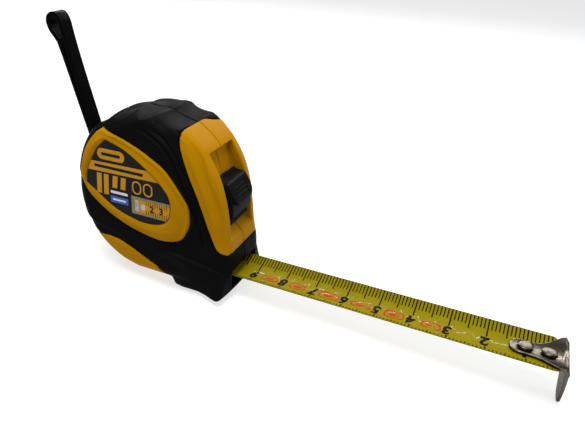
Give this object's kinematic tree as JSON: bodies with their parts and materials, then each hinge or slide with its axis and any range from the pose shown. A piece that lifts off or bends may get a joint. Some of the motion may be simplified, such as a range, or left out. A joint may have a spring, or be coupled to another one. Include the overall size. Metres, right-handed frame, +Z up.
{
  "type": "pocket tape measure",
  "caption": "Pocket tape measure with a two-shell case, rubber grips, thumb lock, curved steel blade with end hook and a wrist strap.",
  "frame": {"origin": "on the flat base, on the case's mid-plane, below the front part of the spool", "axes": "+X the way the blade pulls out, +Z up, +Y away from the labelled side shown in the picture"},
  "size_m": [0.1682, 0.0344, 0.0896],
  "materials": {
    "case_plastic": "satin moulded, yellow orange",
    "grip_rubber": "matte soft-touch black",
    "label": "printed satin film",
    "screw_steel": "zinc plated",
    "spool_plastic": "moulded, natural white",
    "spring_steel": "blued",
    "blade_lacquer": "gloss lacquer, olive yellow",
    "hook_steel": "nickel plated, pressed",
    "lock_plastic": "fine texture, black",
    "strap_plastic": "smooth black, stiff"
  },
  "bodies": {
    "case": {"case_left": "case_plastic", "case_right": "case_plastic", "grip_left": "grip_rubber", "grip_right": "grip_rubber", "label_left": "label", "label_right": "label", "case_screw_1": "screw_steel", "case_screw_2": "screw_steel", "case_screw_3": "screw_steel", "case_screw_4": "screw_steel", "arbor": "screw_steel", "tape_lead": "blade_lacquer", "strap_pin": "screw_steel"},
    "blade": {"blade": "blade_lacquer", "hook_rivet_front": "hook_steel", "hook_rivet_rear": "hook_steel"},
    "hook": {"hook": "hook_steel"},
    "spool": {"spool": "spool_plastic", "spool_cover": "spool_plastic", "mainspring": "spring_steel", "tape_coil": "blade_lacquer"},
    "lock": {"lock_button": "lock_plastic", "lock_brake": "lock_plastic"},
    "strap": {"strap": "strap_plastic"}
  },
  "joints": [
    {"name": "blade_slide", "type": "slide", "parent": "case", "child": "blade", "axis": [1, 0, 0], "range_m": [-0.0925, 0], "deforming": ["blade"]},
    {"name": "hook_float", "type": "slide", "parent": "blade", "child": "hook", "axis": [1, 0, 0], "range_m": [-0.0008, 0]},
    {"name": "spool_spin", "type": "hinge", "parent": "case", "child": "spool", "pos_m": [-0.004, 0, 0.028], "axis": [0, 1, 0], "range_deg": [0, 271]},
    {"name": "lock_slide", "type": "slide", "parent": "case", "child": "lock", "axis": [-0.2761, 0, 0.9611], "range_m": [0, 0.0075]},
    {"name": "strap_swing", "type": "hinge", "parent": "case", "child": "strap", "pos_m": [-0.0286, 0, 0.033], "axis": [0, 1, 0], "range_deg": [-105, 0]}
  ],
  "couplings": [
    {"joint": "spool_spin", "follows": "blade_slide", "rad_per_m": -51}
  ]
}
